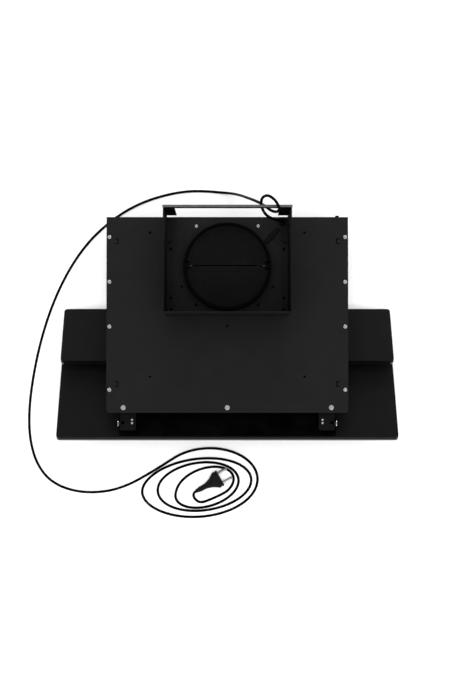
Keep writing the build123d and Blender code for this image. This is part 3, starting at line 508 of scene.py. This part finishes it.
def sleeve_rings():
    """The ribbed strain relief that the lead goes into."""
    tail, root = SLEEVE_ENDS
    narrow, wide = SLEEVE_RADII
    steps = SLEEVE_RIBS * RINGS_A_RIB
    rings = []
    for i in range(steps + 1):
        part = i / steps
        along = tail + (root - tail) * part
        radius = narrow + (wide - narrow) * min(1.0, part * SLEEVE_FLARE)
        if 0 < i < steps:
            rib = 0.5 - 0.5 * math.cos(2 * math.pi * SLEEVE_RIBS * part)
            radius -= SLEEVE_GROOVE * (1 - rib) ** 4
        ring = []
        for cosine, sine in round_steps(PLUG_RING_POINTS):
            up = max(relief_up(along) + radius * sine, 0.0)
            ring.append(at(*plug_point(along, radius * cosine, up)))
        rings.append(ring)
    return rings


def grip_rings(along, side):
    """A rib across the plug's flare, on its upper (1) or lower (-1) broad side."""
    further = along - GRIP_PLACES[0]
    half = GRIP_HALF_LENGTH + further * GRIP_WIDENING
    middle = PLUG_AXIS_UP + side * (GRIP_OUT + further * GRIP_RISE)
    shoulder = half - GRIP_TAPER
    places = (-half, -shoulder, shoulder, half)
    radii = (GRIP_TIP_RADIUS, GRIP_RADIUS, GRIP_RADIUS, GRIP_TIP_RADIUS)
    rings = []
    for across, radius in zip(places, radii):
        ring = []
        for cosine, sine in round_steps(GRIP_RING_POINTS):
            ring.append(at(*plug_point(along + radius * cosine, across, middle + radius * sine)))
        rings.append(ring)
    return rings


def make_plug(materials):
    """The plug's moulded body with its strain relief and grip ribs. Its pins are the CAD model's."""
    parts = [loft([rounded_ring(section) for section in PLUG_SECTIONS]), loft(sleeve_rings())]
    for side in (-1, 1):
        parts += [loft(grip_rings(along, side)) for along in GRIP_PLACES]
    mesh = joined_mesh("mains_plug", parts)
    sharpen(mesh, math.radians(50))
    plug = add_object("mains_plug", mesh, materials["plug_black"], "hood")
    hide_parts("plug_body")
    return plug


# ---------------------------------------------------------------- cable gland
LATHE_POINTS = 40
# (radius, height) of the bush below the top panel and of its collar on it
BUSH_PROFILE = [
    (3.5, -8.0), (3.9, -7.4), (3.9, -4.0), (5.3, -3.9), (5.3, -1.2), (3.9, -1.0), (3.9, 0.0),
    (5.0, 0.0), (5.2, 0.3), (5.2, 2.0), (4.9, 2.5),
]
GLAND_RIBS = 6
GLAND_RADIUS = 4.2  # of the lowest rib
GLAND_TAPER = 1.1  # how much the radius falls over the ribs' whole height
GLAND_GROOVE = 0.75  # depth between two ribs
GLAND_GAP = 0.28  # height between two ribs, as a share of their pitch
GLAND_FLANK = 0.2  # height of each rib's slanted lower and upper flank
GLAND_RIB_TAPER = 0.12  # how much narrower a rib is at its upper edge
GLAND_MOUTH = 2.5


def lathe(axis_x, axis_d, profile):
    """A turned solid round an upright axis, from (radius, height) pairs."""
    rings = []
    for radius, height in profile:
        ring = []
        for cosine, sine in round_steps(LATHE_POINTS):
            ring.append(at(axis_x + radius * cosine, axis_d + radius * sine, height))
        rings.append(ring)
    return loft(rings)


def make_gland(materials):
    """Snap-in bush with a ribbed, tapered strain relief standing on the top panel."""
    x, d, top = CORD_ROUTE[0]
    profile = list(BUSH_PROFILE)
    bottom = profile[-1][1]
    for i in range(GLAND_RIBS):
        low = bottom + (top - bottom) * i / GLAND_RIBS
        high = bottom + (top - bottom) * (i + 1) / GLAND_RIBS
        gap = (high - low) * GLAND_GAP
        outer = GLAND_RADIUS - GLAND_TAPER * i / GLAND_RIBS
        groove = outer - GLAND_GROOVE
        profile += [(groove, low + 0.01), (groove, low + gap)]
        profile += [(outer, low + gap + GLAND_FLANK), (outer - GLAND_RIB_TAPER, high - GLAND_FLANK)]
    profile.append((GLAND_MOUTH, top))
    mesh = joined_mesh("lead_gland", [lathe(x, d, profile)])
    sharpen(mesh)
    gland = add_object("lead_gland", mesh, materials["black_rubber"], "hood")
    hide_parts("cable_gland")


# ---------------------------------------------------------------- grease filters
# Places on the inclined face: x along the hood, s down the slope, n square to it
FILTER_WINDOW_X = (13.0, 181.0)
FILTER_WINDOW_S = (74.0, 144.5)
FILTER_LAYERS_N = (19.8, 21.4, 24.0)
DIAMOND = (5.0, 3.4)  # width and height of one opening of the expanded mesh
STRAND = (0.55, 0.35)  # half width and half thickness
STRAND_REACH = 0.9  # from valley to peak, as a share of the rows' pitch
CORRUGATION = (0.8, 12.0)  # height and length of one wave of the sheet


def expanded_layer(x_range, s_range, n_middle, offset, place):
    """One layer of expanded mesh: zigzag strands that meet at their peaks, on a gently corrugated sheet."""
    wave_height, wave_length = CORRUGATION
    corners, faces = [], []
    columns = int((x_range[1] - x_range[0]) / (DIAMOND[0] / 2))
    rows = int((s_range[1] - s_range[0]) / (DIAMOND[1] / 2))
    step = (x_range[1] - x_range[0]) / columns
    pitch = (s_range[1] - s_range[0]) / rows
    for row in range(rows):
        for column in range(columns + 1):
            peak = 0.5 if (column + row + offset) % 2 else -0.5
            s = s_range[0] + (row + 0.5 + peak * STRAND_REACH) * pitch
            x = x_range[0] + column * step
            n = n_middle + wave_height * math.sin(2 * math.pi * s / wave_length)
            first = len(corners)
            for ds, dn in ((-1, -1), (1, -1), (1, 1), (-1, 1)):
                corner = Vector((x, s + ds * STRAND[0], n + dn * STRAND[1])) * MM
                corners.append(place @ corner)
            if column:
                for a, b in ((0, 1), (1, 2), (2, 3), (3, 0)):
                    faces.append((first - 4 + a, first - 4 + b, first + b, first + a))
            else:
                faces.append((first, first + 1, first + 2, first + 3))
        faces.append((first + 3, first + 2, first + 1, first))
    return corners, faces


def make_filters(materials):
    """Layers of expanded mesh in each filter's window, every other one shifted by half an opening."""
    place = slope_frame()
    for side, name in ((-1, "left"), (1, "right")):
        x_range = sorted(side * x for x in FILTER_WINDOW_X)
        layers = []
        for index, n in enumerate(FILTER_LAYERS_N):
            layers.append(expanded_layer(x_range, FILTER_WINDOW_S, n, index, place))
        mesh = joined_mesh(f"expanded_mesh_{name}", layers, smooth=False)
        piece = add_object(f"expanded_mesh_{name}", mesh, materials["filter_mesh"], "hood")
        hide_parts(f"filter_mesh_{name}")


# ---------------------------------------------------------------- studio
FLOOR_HALF_WIDTH = 9.0
WORLD_STRENGTH = 0.45
# name, place from the object's middle, size, watts and whether glossy surfaces mirror it
SOFT_BOXES = [
    ("overhead", (0.0, -0.15, 4.2), 3.4, 260.0, False),
    ("rear_high", (0.0, 2.6, 2.6), 1.0, 20.0, True),
    ("front_low", (0.8, -3.2, 0.7), 1.6, 12.0, True),
]


def make_floor():
    """A plain pale floor at the level of the hood's lowest face, where the cord lies."""
    finish = Finish("studio_floor", (0.93, 0.93, 0.93), 0.8, specular=0.1)
    finish.vary_roughness(finish.noise(3, 3), 0.05)
    half = FLOOR_HALF_WIDTH
    height = at(0, 0, FLOOR_H_MM).z
    corners = [(-half, -half, height), (half, -half, height), (half, half, height), (-half, half, height)]
    mesh = mesh_from("studio_floor", corners, [(0, 1, 2, 3)], smooth=False)
    mesh.materials.append(finish.material)
    floor = bpy.data.objects.new("studio_floor", mesh)
    bpy.context.scene.collection.objects.link(floor)


def make_world():
    """Plain soft light from all round."""
    world = bpy.data.worlds.new("studio")
    bpy.context.scene.world = world
    world.use_nodes = True
    background = world.node_tree.nodes["Background"]
    background.inputs["Color"].default_value = (1, 1, 1, 1)
    background.inputs["Strength"].default_value = WORLD_STRENGTH


def make_lights():
    """One large soft box overhead, and two small ones that give metal and glass something to mirror."""
    aim = at(0, 170, -100)
    for name, offset, size, watts, mirrored in SOFT_BOXES:
        data = bpy.data.lights.new(name, "AREA")
        data.shape = "SQUARE"
        data.size = size
        data.energy = watts
        light = bpy.data.objects.new(name, data)
        light.location = aim + Vector(offset)
        light.rotation_euler = (aim - light.location).to_track_quat("-Z", "Y").to_euler()
        light.visible_camera = False
        light.visible_glossy = mirrored
        bpy.context.scene.collection.objects.link(light)


def main():
    bpy.context.scene.view_settings.view_transform = "Standard"
    make_camera()
    materials = make_materials()
    paint_frame(materials)
    plug = make_plug(materials)
    make_gland(materials)
    make_cord(materials)
    make_filters(materials)
    make_floor()
    make_world()
    make_lights()


main()
